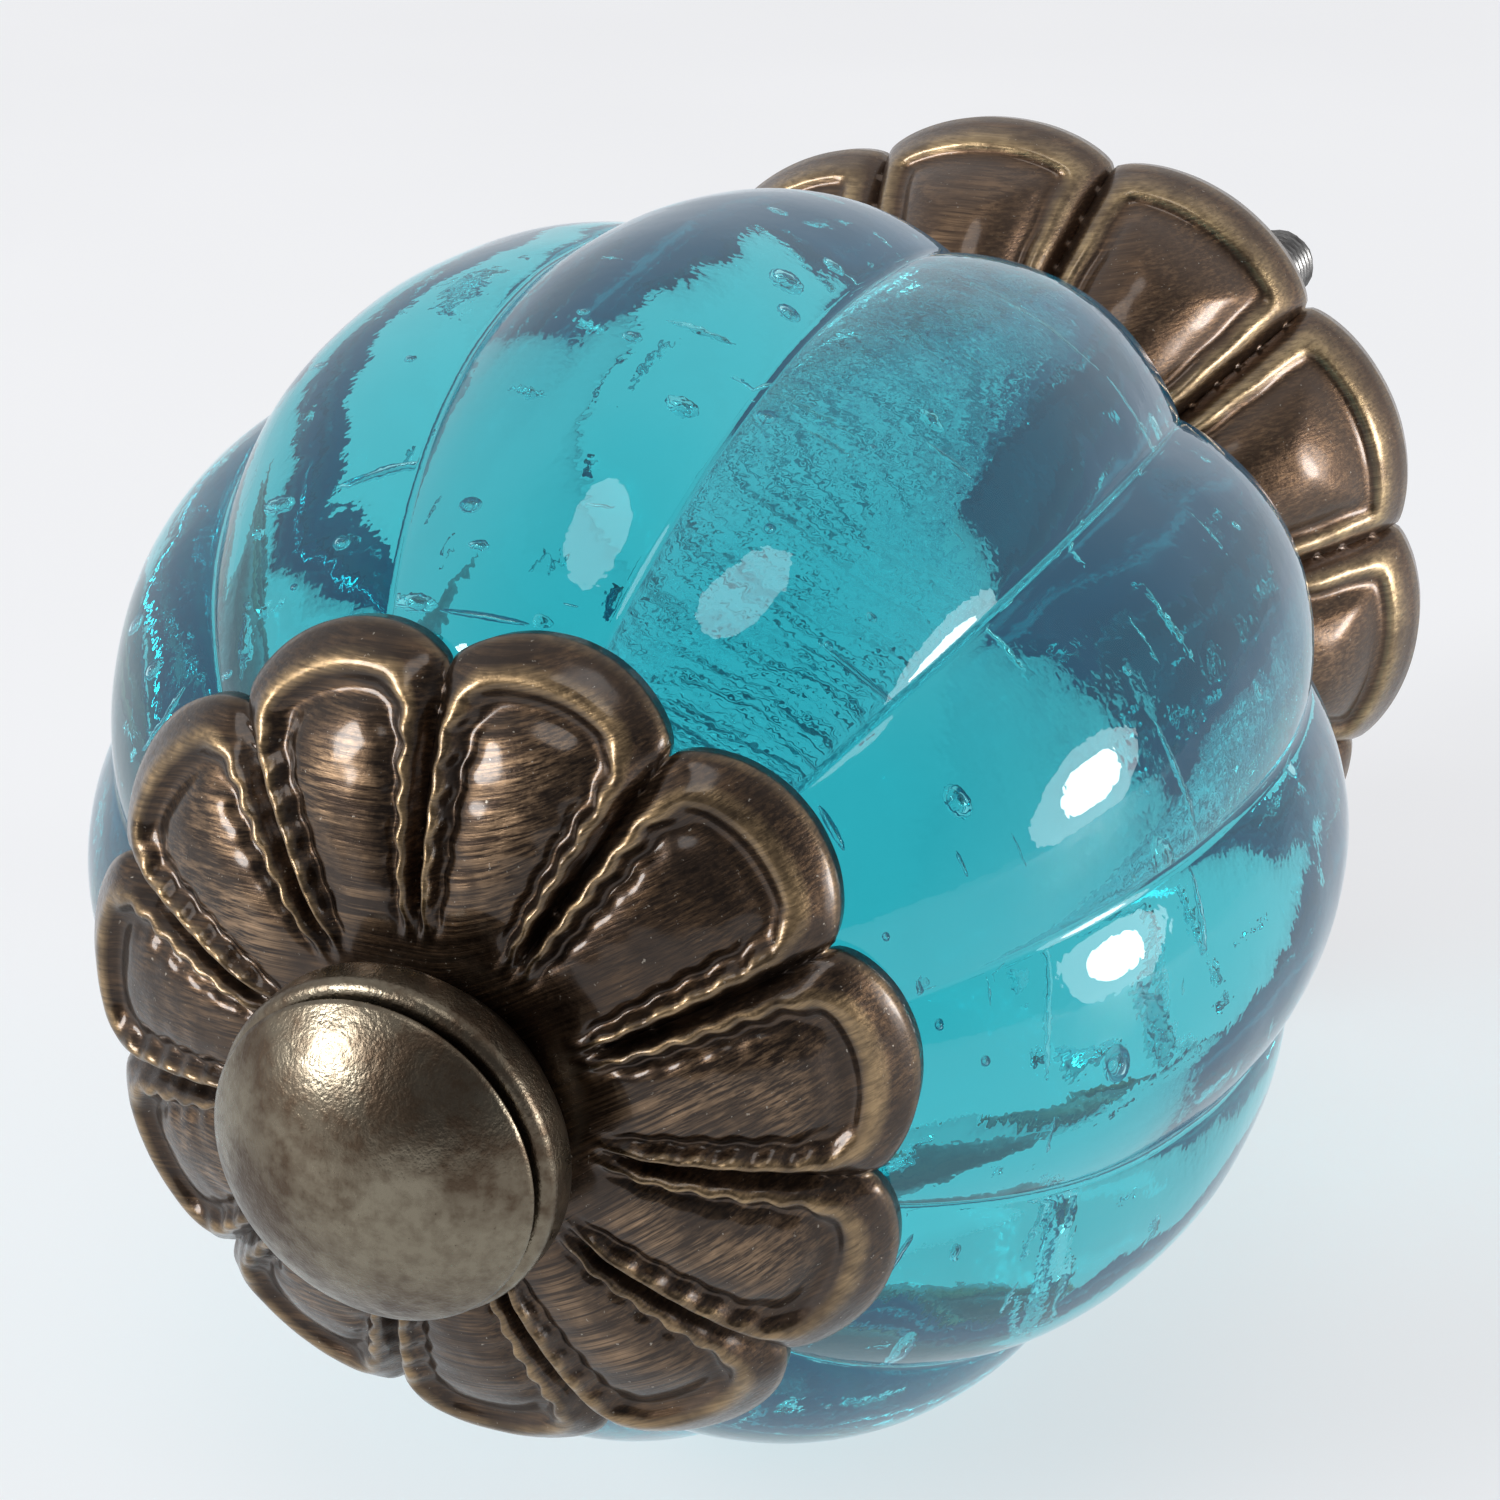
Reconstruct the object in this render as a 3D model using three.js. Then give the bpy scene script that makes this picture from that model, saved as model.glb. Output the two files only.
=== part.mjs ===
// Fluted glass cabinet knob between two stamped flower caps, held on a threaded stud.
// Millimetres. The knob points along -Y and the drawer front lies in the plane Y = 0.
import * as THREE from "three";

const FULL_TURN = 2 * Math.PI;

// Glass body, drilled through along the knob's axis.
const GLASS_RADIUS = 20;
const GLASS_HALF_LENGTH = 20.5;
const GLASS_ROUNDNESS = 2.15;
const GLASS_SEAT_REACH = 17.6;
const GLASS_CENTRE_Z = 29.4;
const GLASS_BORE_RADIUS = 2.6;
const LOBE_COUNT = 12;
const LOBE_PHASE = 0.263;
const LOBE_DEPTH = 0.055;
const LOBE_CREST_POWER = 0.85;
const LOBE_SEGMENTS = 8;
const GLASS_ROWS = 16;

// Front flower cap, a thin stamped sheet that follows the glass.
const FRONT_CAP = {
  name: "front_cap",
  petals: 11,
  phase: 0.47,
  boreRadius: 2.6,
  notchRadius: 11.55,
  tipRadius: 12.9,
  tipPower: 0.55,
  hubZ: 50.4,
  rimZ: 47.9,
  fall: 2.2,
  sheet: 0.8,
  followsGlass: true,
  ribHeight: 0.35,
  ribPlace: 0.2,
  ribWidth: 0.11,
  pillowHeight: 0.15,
  reliefStart: 0.2,
  rows: 6,
};

// Rear flower base, a deeper cup whose rim stands on the drawer front.
const REAR_BASE = {
  name: "rear_base",
  petals: 11,
  phase: 0.172,
  boreRadius: 2.6,
  notchRadius: 16.2,
  tipRadius: 17.4,
  tipPower: 0.55,
  hubZ: 10,
  rimZ: 0.9,
  fall: 2.6,
  sheet: 0.9,
  followsGlass: false,
  ribHeight: 0.4,
  ribPlace: 0.17,
  ribWidth: 0.09,
  pillowHeight: 0.9,
  reliefStart: 0.3,
  rows: 7,
};
const PETAL_SEGMENTS = 8;
// Rows stand closer together towards the rim, where the sheet turns down.
const ROW_CROWDING = 0.8;
// Width of the base's flat ring that stands on the drawer front.
const BASE_RIM_WIDTH = 1.2;

// Threaded stud and the hardware on it.
const STUD_RADIUS = 2;
const STUD_REAR_Z = -50;
const STUD_FRONT_Z = 54.1;
const CLEAR_HOLE_RADIUS = 2.15;
const NUT_BORE_RADIUS = 2.08;
const NUT_SIDES = 6;
const NUT_ACROSS_FLATS = 7;
const NUT_HEIGHT = 3.2;
const RETAINING_NUT_Z = 4.4;
const MOUNTING_NUT_Z = -22.5;
const ROUND_SEGMENTS = 36;

// Domed finial: a spherical cap with a blind hole for the stud.
const DOME_RADIUS = 6.6;
const DOME_CENTRE_Z = 49.1;
const DOME_BACK_Z = 53.55;
const DOME_HOLE_TOP_Z = 54.5;
const DOME_ROWS = 8;

// Collar between the dome and the front cap: a rounded flange on a narrower neck.
const COLLAR_FLANGE_RADIUS = 5;
const COLLAR_NECK_RADIUS = 4.1;
const COLLAR_ROUND = 0.4;
const COLLAR_REAR_Z = 50.72;
const COLLAR_STEP_Z = 51.7;
const COLLAR_FRONT_Z = 53.25;

// Flat rings: name, inner radius, outer radius, rear face and front face.
const RINGS = [
  { name: "front_gasket", inner: 2.6, outer: 6, rear: 47.3, front: 49.3, round: 0.2, finish: "gasket" },
  { name: "rear_gasket", inner: 2.6, outer: 7, rear: 10.3, front: 11.5, round: 0.2, finish: "gasket" },
  { name: "retaining_washer", inner: 2.15, outer: 4.5, rear: 7.9, front: 8.7, round: 0.1, finish: "steel" },
  { name: "mounting_washer", inner: 2.15, outer: 6, rear: -19, front: -18, round: 0.1, finish: "steel" },
];

const FINISHES = {
  glass: { color: 0x2f9fae, roughness: 0.05, metalness: 0 },
  brass: { color: 0x5a4632, roughness: 0.4, metalness: 1 },
  nickel: { color: 0x7d7566, roughness: 0.35, metalness: 1 },
  steel: { color: 0x8b8b88, roughness: 0.35, metalness: 1 },
  gasket: { color: 0xd9dcd8, roughness: 0.5, metalness: 0 },
};

function makeMesh(name, geometry, finish) {
  const mesh = new THREE.Mesh(geometry, new THREE.MeshStandardMaterial(FINISHES[finish]));
  mesh.name = name;
  return mesh;
}

// One closed skin swept round the Z axis. sectionAt(angle) gives the loop of [radius, z] points,
// running forwards along the outside and back along the inside.
function sweptSkin(around, sectionAt) {
  const positions = [];
  const indices = [];
  let along = 0;
  for (let i = 0; i < around; i++) {
    const angle = (FULL_TURN * i) / around;
    const section = sectionAt(angle);
    along = section.length;
    for (const [radius, z] of section) {
      positions.push(radius * Math.cos(angle), radius * Math.sin(angle), z);
    }
  }
  for (let i = 0; i < around; i++) {
    const here = i * along;
    const next = ((i + 1) % around) * along;
    for (let j = 0; j < along; j++) {
      const up = (j + 1) % along;
      indices.push(here + j, next + j, next + up);
      indices.push(here + j, next + up, here + up);
    }
  }
  const geometry = new THREE.BufferGeometry();
  geometry.setAttribute("position", new THREE.Float32BufferAttribute(positions, 3));
  geometry.setIndex(indices);
  geometry.computeVertexNormals();
  return geometry;
}

// 0 in the groove between two neighbours, 1 on the crest.
function crestShare(count, angle, power) {
  return Math.pow(Math.abs(Math.sin((count * angle) / 2)), power);
}

function glassBody() {
  const rim = Math.asin(GLASS_SEAT_REACH / GLASS_HALF_LENGTH);
  return sweptSkin(LOBE_COUNT * LOBE_SEGMENTS, (angle) => {
    const crest = crestShare(LOBE_COUNT, angle, LOBE_CREST_POWER);
    const flute = 1 - LOBE_DEPTH * (1 - crest);
    const section = [];
    for (let row = 0; row <= GLASS_ROWS; row++) {
      const reach = GLASS_HALF_LENGTH * Math.sin(rim * ((2 * row) / GLASS_ROWS - 1));
      const slimness = 1 - Math.pow(Math.abs(reach) / GLASS_HALF_LENGTH, GLASS_ROUNDNESS);
      const radius = GLASS_RADIUS * flute * Math.pow(slimness, 1 / GLASS_ROUNDNESS);
      section.push([radius, GLASS_CENTRE_Z + reach]);
    }
    section.push([GLASS_BORE_RADIUS, GLASS_CENTRE_Z + GLASS_SEAT_REACH]);
    section.push([GLASS_BORE_RADIUS, GLASS_CENTRE_Z - GLASS_SEAT_REACH]);
    return section;
  });
}

function bump(distance, width) {
  return Math.exp(-Math.pow(distance / width, 2));
}

// Height of the raised ribs and of the petal's swell over the plain sheet.
function petalRelief(cap, angle, share) {
  const turns = (cap.petals * angle) / FULL_TURN;
  const place = turns - Math.floor(turns);
  const edge = Math.min(place, 1 - place);
  const outward = Math.max(0, (share - cap.reliefStart) / (1 - cap.reliefStart));
  const ribFade = Math.min(1, share / cap.reliefStart);
  const rib = cap.ribHeight * bump(edge - cap.ribPlace, cap.ribWidth) * ribFade;
  const swell = Math.pow(Math.sin(Math.PI * place), 2) * Math.sin(Math.PI * outward);
  return rib + cap.pillowHeight * swell;
}

// A petalled cup. share runs from 0 at the bore to 1 at the rim.
function flowerCap(cap) {
  const shares = [];
  for (let row = 0; row <= cap.rows; row++) {
    shares.push(Math.pow(row / cap.rows, ROW_CROWDING));
  }
  return sweptSkin(cap.petals * PETAL_SEGMENTS, (angle) => {
    const crest = crestShare(cap.petals, angle, cap.tipPower);
    const rim = cap.notchRadius + (cap.tipRadius - cap.notchRadius) * crest;
    const evenRim = cap.followsGlass ? cap.notchRadius : rim;
    const back = [];
    const face = [];
    for (const share of shares) {
      const radius = cap.boreRadius + (rim - cap.boreRadius) * share;
      const reach = (radius - cap.boreRadius) / (evenRim - cap.boreRadius);
      const z = cap.hubZ - (cap.hubZ - cap.rimZ) * Math.pow(reach, cap.fall);
      back.push([radius, z - cap.sheet]);
      face.push([radius, z + petalRelief(cap, angle, share)]);
    }
    if (!cap.followsGlass) {
      const [outer, foot] = back.pop();
      back.push([outer - BASE_RIM_WIDTH, foot], [outer, foot]);
    }
    return [...back, ...face.reverse()];
  });
}

function flatRing(ring) {
  const edge = ring.round;
  const section = [
    [ring.inner, ring.rear],
    [ring.outer - edge, ring.rear],
    [ring.outer, ring.rear + edge],
    [ring.outer, ring.front - edge],
    [ring.outer - edge, ring.front],
    [ring.inner, ring.front],
  ];
  return sweptSkin(ROUND_SEGMENTS, () => section);
}

function finialCollar() {
  const edge = COLLAR_FLANGE_RADIUS - COLLAR_ROUND;
  const section = [
    [CLEAR_HOLE_RADIUS, COLLAR_REAR_Z],
    [COLLAR_NECK_RADIUS, COLLAR_REAR_Z],
    [COLLAR_NECK_RADIUS, COLLAR_STEP_Z],
    [edge, COLLAR_STEP_Z],
    [COLLAR_FLANGE_RADIUS, COLLAR_STEP_Z + COLLAR_ROUND],
    [COLLAR_FLANGE_RADIUS, COLLAR_FRONT_Z - COLLAR_ROUND],
    [edge, COLLAR_FRONT_Z],
    [CLEAR_HOLE_RADIUS, COLLAR_FRONT_Z],
  ];
  return sweptSkin(ROUND_SEGMENTS, () => section);
}

function domedFinial() {
  const outline = [
    new THREE.Vector2(0, DOME_HOLE_TOP_Z),
    new THREE.Vector2(CLEAR_HOLE_RADIUS, DOME_HOLE_TOP_Z),
    new THREE.Vector2(CLEAR_HOLE_RADIUS, DOME_BACK_Z),
  ];
  const start = Math.asin((DOME_BACK_Z - DOME_CENTRE_Z) / DOME_RADIUS);
  for (let row = 0; row <= DOME_ROWS; row++) {
    const tilt = start + ((Math.PI / 2 - start) * row) / DOME_ROWS;
    const radius = row === DOME_ROWS ? 0 : DOME_RADIUS * Math.cos(tilt);
    outline.push(new THREE.Vector2(radius, DOME_CENTRE_Z + DOME_RADIUS * Math.sin(tilt)));
  }
  return new THREE.LatheGeometry(outline, ROUND_SEGMENTS).rotateX(Math.PI / 2);
}

function hexNut() {
  const corner = NUT_ACROSS_FLATS / 2 / Math.cos(Math.PI / NUT_SIDES);
  const corners = [];
  for (let side = 0; side < NUT_SIDES; side++) {
    const angle = (FULL_TURN * side) / NUT_SIDES;
    corners.push(new THREE.Vector2(corner * Math.cos(angle), corner * Math.sin(angle)));
  }
  const outline = new THREE.Shape(corners);
  outline.holes.push(new THREE.Path().absarc(0, 0, NUT_BORE_RADIUS, 0, FULL_TURN, true));
  return new THREE.ExtrudeGeometry(outline, {
    depth: NUT_HEIGHT,
    bevelEnabled: false,
    curveSegments: ROUND_SEGMENTS,
  });
}

function threadedStud() {
  const length = STUD_FRONT_Z - STUD_REAR_Z;
  return new THREE.CylinderGeometry(STUD_RADIUS, STUD_RADIUS, length, ROUND_SEGMENTS)
    .rotateX(Math.PI / 2)
    .translate(0, 0, STUD_REAR_Z + length / 2);
}

const knob = new THREE.Group();
knob.name = "cabinet_knob";
// The pieces are laid out along Z, then the whole knob is turned so that its front faces -Y.
knob.rotation.x = Math.PI / 2;

const glass = makeMesh("glass_body", glassBody(), "glass");
glass.rotation.z = LOBE_PHASE;
knob.add(glass);

for (const cap of [FRONT_CAP, REAR_BASE]) {
  const flower = makeMesh(cap.name, flowerCap(cap), "brass");
  flower.rotation.z = cap.phase;
  knob.add(flower);
}

for (const ring of RINGS) {
  knob.add(makeMesh(ring.name, flatRing(ring), ring.finish));
}

knob.add(makeMesh("domed_finial", domedFinial(), "nickel"));
knob.add(makeMesh("finial_collar", finialCollar(), "nickel"));
knob.add(makeMesh("threaded_stud", threadedStud(), "steel"));

const nuts = { retaining_nut: RETAINING_NUT_Z, mounting_nut: MOUNTING_NUT_Z };
for (const [name, rearFace] of Object.entries(nuts)) {
  const nut = makeMesh(name, hexNut(), "steel");
  nut.position.z = rearFace;
  knob.add(nut);
}

export default knob;
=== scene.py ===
"""Looks of a fluted glass cabinet knob: turquoise glass between two stamped brass flowers.

Every piece is laid out along a local Z axis in millimetres, with its front towards +Z,
and is then turned so that the knob's front faces -Y, as in the fixed frame.
"""

import logging
import math
from collections.abc import Callable
from dataclasses import dataclass, field
from enum import Enum
from functools import partial

import bmesh
import bpy
import numpy as np
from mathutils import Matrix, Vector, noise

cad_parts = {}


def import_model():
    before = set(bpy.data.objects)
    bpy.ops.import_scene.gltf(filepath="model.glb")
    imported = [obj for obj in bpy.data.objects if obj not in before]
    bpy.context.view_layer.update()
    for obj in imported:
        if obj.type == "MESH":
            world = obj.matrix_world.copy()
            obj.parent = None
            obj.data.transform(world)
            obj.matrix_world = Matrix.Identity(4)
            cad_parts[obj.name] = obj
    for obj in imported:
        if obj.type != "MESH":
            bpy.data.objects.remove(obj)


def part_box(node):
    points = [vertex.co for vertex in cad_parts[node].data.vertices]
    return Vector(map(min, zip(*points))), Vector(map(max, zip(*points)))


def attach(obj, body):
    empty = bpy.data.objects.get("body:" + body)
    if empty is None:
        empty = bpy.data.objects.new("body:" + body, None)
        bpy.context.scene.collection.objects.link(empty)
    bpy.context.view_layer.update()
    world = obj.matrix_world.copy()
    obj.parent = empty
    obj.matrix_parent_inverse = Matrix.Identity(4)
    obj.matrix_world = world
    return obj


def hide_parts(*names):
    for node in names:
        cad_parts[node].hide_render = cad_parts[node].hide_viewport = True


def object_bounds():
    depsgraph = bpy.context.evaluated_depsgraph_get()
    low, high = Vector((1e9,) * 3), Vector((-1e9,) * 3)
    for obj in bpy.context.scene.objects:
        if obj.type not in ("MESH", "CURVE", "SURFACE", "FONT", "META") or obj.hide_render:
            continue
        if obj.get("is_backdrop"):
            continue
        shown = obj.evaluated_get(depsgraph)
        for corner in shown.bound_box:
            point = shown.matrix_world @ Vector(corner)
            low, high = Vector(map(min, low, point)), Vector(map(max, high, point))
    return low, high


MM = 0.001
FULL_TURN = 2.0 * math.pi
SEAM_WELD = 2e-6
POLE_WELD = 1e-7
HEX_CORNERS = 6
HEX_CHAMFER = math.radians(30.0)
NARROWING = 0.72

BUMP = "ShaderNodeBump"
COORDINATES = "ShaderNodeTexCoord"
MARK = "ShaderNodeAttribute"
MATH = "ShaderNodeMath"
MIX = "ShaderNodeMix"
NOISE = "ShaderNodeTexNoise"
PRINCIPLED = "ShaderNodeBsdfPrincipled"
SPAN = "ShaderNodeMapRange"
VECTOR = "ShaderNodeCombineXYZ"
WHITE = (1.0, 1.0, 1.0, 1.0)

AddNode = Callable[..., bpy.types.Node]
Layers = dict[str, bpy.types.Node]
Span = tuple[float, ...]

log = logging.getLogger("knob")


class Body(Enum):
    """The bodies of the frame that pieces ride on."""

    KNOB = "knob"
    WASHER = "mounting_washer"
    NUT = "mounting_nut"


class Slot(Enum):
    """The record's material slots."""

    NICKEL = "antique_nickel"
    BRASS = "antique_brass"
    GLASS = "turquoise_glass"
    GASKET = "clear_gasket"
    STEEL = "zinc_steel"


def linear(code: str) -> tuple[float, float, float, float]:
    """Turn an sRGB hex colour into linear RGBA.

    Args:
        code: six hex digits, with or without a leading hash.

    Returns:
        Red, green, blue and an alpha of one.
    """
    digits = code.lstrip("#")
    shares = [int(digits[i : i + 2], 16) / 255.0 for i in (0, 2, 4)]
    red, green, blue = (
        s / 12.92 if s <= 0.04045 else ((s + 0.055) / 1.055) ** 2.4 for s in shares
    )
    return red, green, blue, 1.0


def add_node(
    tree: bpy.types.NodeTree,
    kind: str,
    inputs: dict | tuple = (),
    **settings: object,
) -> bpy.types.Node:
    """Add a node with its settings, its values and its links.

    Args:
        tree: the node tree that gets the node.
        kind: the node's type name.
        inputs: what feeds the inputs, by name or number or in their own order: a value,
            a socket, or a node, which feeds it from its first output in use.
        **settings: the node's own properties.

    Returns:
        The new node.
    """
    node = tree.nodes.new(kind)
    for name, value in settings.items():
        setattr(node, name, value)
    for key, value in inputs.items() if isinstance(inputs, dict) else enumerate(inputs):
        if isinstance(value, bpy.types.Node):
            value = next(output for output in value.outputs if output.enabled)
        if isinstance(value, bpy.types.NodeSocket):
            tree.links.new(value, node.inputs[key])
        else:
            node.inputs[key].default_value = value
    return node


@dataclass(frozen=True)
class Finish:
    """What all finishes share. A Span holds a value's range, then what the range becomes."""

    name: str

    def material(self) -> bpy.types.Material:
        """Build the finish.

        Returns:
            A node material with the finish's own layers.
        """
        made = bpy.data.materials.new(self.name)
        made.use_nodes = True
        made.node_tree.nodes.clear()
        add = partial(add_node, made.node_tree)
        place = add(COORDINATES).outputs["Object"]
        add("ShaderNodeOutputMaterial", self.layers(add, place))
        return made

    def layers(self, add: AddNode, place: bpy.types.NodeSocket) -> Layers:
        """Add the nodes of the finish.

        Args:
            add: adds a node to the material.
            place: coordinates on the piece, in metres.

        Returns:
            What feeds each input of the material's output.
        """
        raise NotImplementedError


@dataclass(frozen=True)
class AntiqueBrass(Finish):
    """Brass sheet, stamped, chemically browned, then rubbed back with a fine abrasive.

    The browning stays dark in the sunken panels and grooves, the rubbing bares golden
    metal on the raised borders and leaves fine parallel scratches, and a thin lacquer
    gives small white glints over both.
    """

    name: str = "antique_brass_rubbed"
    dark: str = "#352a22"
    brown: str = "#7a5f45"
    gold: str = "#a98f6a"
    copper: str = "#a88b6d"
    speck_tone: str = "#bdb4a6"
    faint_share: float = 0.5
    scratch_width: float = 0.11 * MM
    mottle: float = 1.6 * MM
    grain: float = 0.16 * MM
    scratch_lines: Span = (0.42, 0.66)
    scratch_patches: Span = (0.36, 0.62, 0.2, 1.0)
    specks: Span = (0.7, 0.76, 0.0, 0.55)
    bare_relief: Span = (0.35, 1.0)
    bare_mottle: Span = (0.34, 0.64, 0.25, 1.0)
    bare_scuffs: Span = (0.3, 0.6, 0.4, 1.0)
    roughness: Span = (0.3, 0.7, 0.2, 0.34)
    scratch_roughness: float = 0.22
    grain_depth: float = 0.6
    bump_depth: float = 0.025 * MM
    lacquer: float = 0.55
    lacquer_roughness: float = 0.13

    def layers(self, add: AddNode, place: bpy.types.NodeSocket) -> Layers:
        """Brown the sheet, brush it, bare its borders and lacquer it.

        Args:
            add: adds a node to the material.
            place: coordinates on the piece, in metres.

        Returns:
            What feeds the material's output.
        """
        relief = add(MARK, attribute_name="relief").outputs["Fac"]
        rubbed = add(MARK, attribute_name="rubbed").outputs["Fac"]
        brush = add(MARK, attribute_name="brush").outputs["Vector"]
        scratch, mottle, grain = (
            add(NOISE, {"Vector": where, "Scale": 1.0 / size, "Detail": detail, "Roughness": rough})
            for where, size, detail, rough in (
                (brush, self.scratch_width, 3.0, 0.65),
                (place, self.mottle, 3.0, 0.6),
                (place, self.grain, 2.0, 0.6),
            )
        )
        lines = add(SPAN, (scratch, *self.scratch_lines))
        patches = add(SPAN, (mottle, *self.scratch_patches))
        streaked = add(MATH, (lines, patches), operation="MULTIPLY")
        faint = add(MATH, (streaked, self.faint_share), operation="MULTIPLY")
        bared = add(MATH, (streaked, rubbed), operation="MULTIPLY")
        raised = add(SPAN, (relief, *self.bare_relief))
        worn = add(SPAN, (mottle, *self.bare_mottle))
        bare = add(MATH, (raised, worn), operation="MULTIPLY")
        bare = add(MATH, (bare, add(SPAN, (scratch, *self.bare_scuffs))), operation="MULTIPLY")
        colour = linear(self.dark)
        for share, tone in (
            (faint, self.brown),
            (bared, self.copper),
            # pale specks scattered over the sheet
            (add(SPAN, (grain, *self.specks)), self.speck_tone),
            (bare, self.gold),
        ):
            colour = add(MIX, {0: share, 6: colour, 7: linear(tone)}, data_type="RGBA")
        wavy = add(MATH, (scratch, self.scratch_roughness), operation="MULTIPLY")
        dull = add(SPAN, (grain, *self.roughness))
        fine = add(MATH, (grain, self.grain_depth), operation="MULTIPLY")
        height = add(MATH, (scratch, fine), operation="ADD")
        bump = add(BUMP, {"Strength": 0.6, "Distance": self.bump_depth, "Height": height})
        shader = add(
            PRINCIPLED,
            {
                "Base Color": colour,
                "Metallic": 1.0,
                "Roughness": add(MATH, (wavy, dull), operation="ADD"),
                "Coat Weight": self.lacquer,
                "Coat Roughness": self.lacquer_roughness,
                "Normal": bump,
            },
        )
        return {"Surface": shader}


@dataclass(frozen=True)
class AntiqueNickel(Finish):
    """Turned brass, nickel plated and darkened, then tumbled to a satin.

    Tumbling leaves a fine orange peel that softens highlights, and the darkening
    lingers in brownish clouds and in a few pits.
    """

    name: str = "antique_nickel_tumbled"
    light: str = "#827a6a"
    cloud: str = "#54473a"
    pit: str = "#1c1813"
    peel: float = 0.42 * MM
    clouds: float = 3.4 * MM
    cloud_stain: Span = (0.4, 0.62, 0.0, 0.85)
    peel_stain: Span = (0.42, 0.7, 0.0, 0.45)
    pits: Span = (0.72, 0.78, 0.0, 0.6)
    peel_roughness: Span = (0.3, 0.7, 0.2, 0.3)
    cloud_roughness: Span = (0.35, 0.65, 0.0, 0.12)
    grain_depth: float = 0.4
    bump_depth: float = 0.035 * MM

    def layers(self, add: AddNode, place: bpy.types.NodeSocket) -> Layers:
        """Stain the plating in clouds and pits, and pucker it.

        Args:
            add: adds a node to the material.
            place: coordinates on the piece, in metres.

        Returns:
            What feeds the material's output.
        """
        peel, clouds, grain = (
            add(NOISE, {"Vector": place, "Scale": 1.0 / size, "Detail": detail, "Roughness": 0.6})
            for size, detail in ((self.peel, 3.0), (self.clouds, 3.0), (self.peel / 4.0, 2.0))
        )
        stains = (add(SPAN, (clouds, *self.cloud_stain)), add(SPAN, (peel, *self.peel_stain)))
        colour = linear(self.light)
        for share, tone in (
            (add(MATH, stains, operation="ADD", use_clamp=True), self.cloud),
            (add(SPAN, (grain, *self.pits)), self.pit),
        ):
            colour = add(MIX, {0: share, 6: colour, 7: linear(tone)}, data_type="RGBA")
        satin = add(SPAN, (peel, *self.peel_roughness))
        dull = add(SPAN, (clouds, *self.cloud_roughness))
        fine = add(MATH, (grain, self.grain_depth), operation="MULTIPLY")
        height = add(MATH, (peel, fine), operation="ADD")
        bump = add(BUMP, {"Strength": 0.6, "Distance": self.bump_depth, "Height": height})
        shader = add(
            PRINCIPLED,
            {
                "Base Color": colour,
                "Metallic": 1.0,
                "Roughness": add(MATH, (satin, dull), operation="ADD"),
                "Normal": bump,
            },
        )
        return {"Surface": shader}


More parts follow.
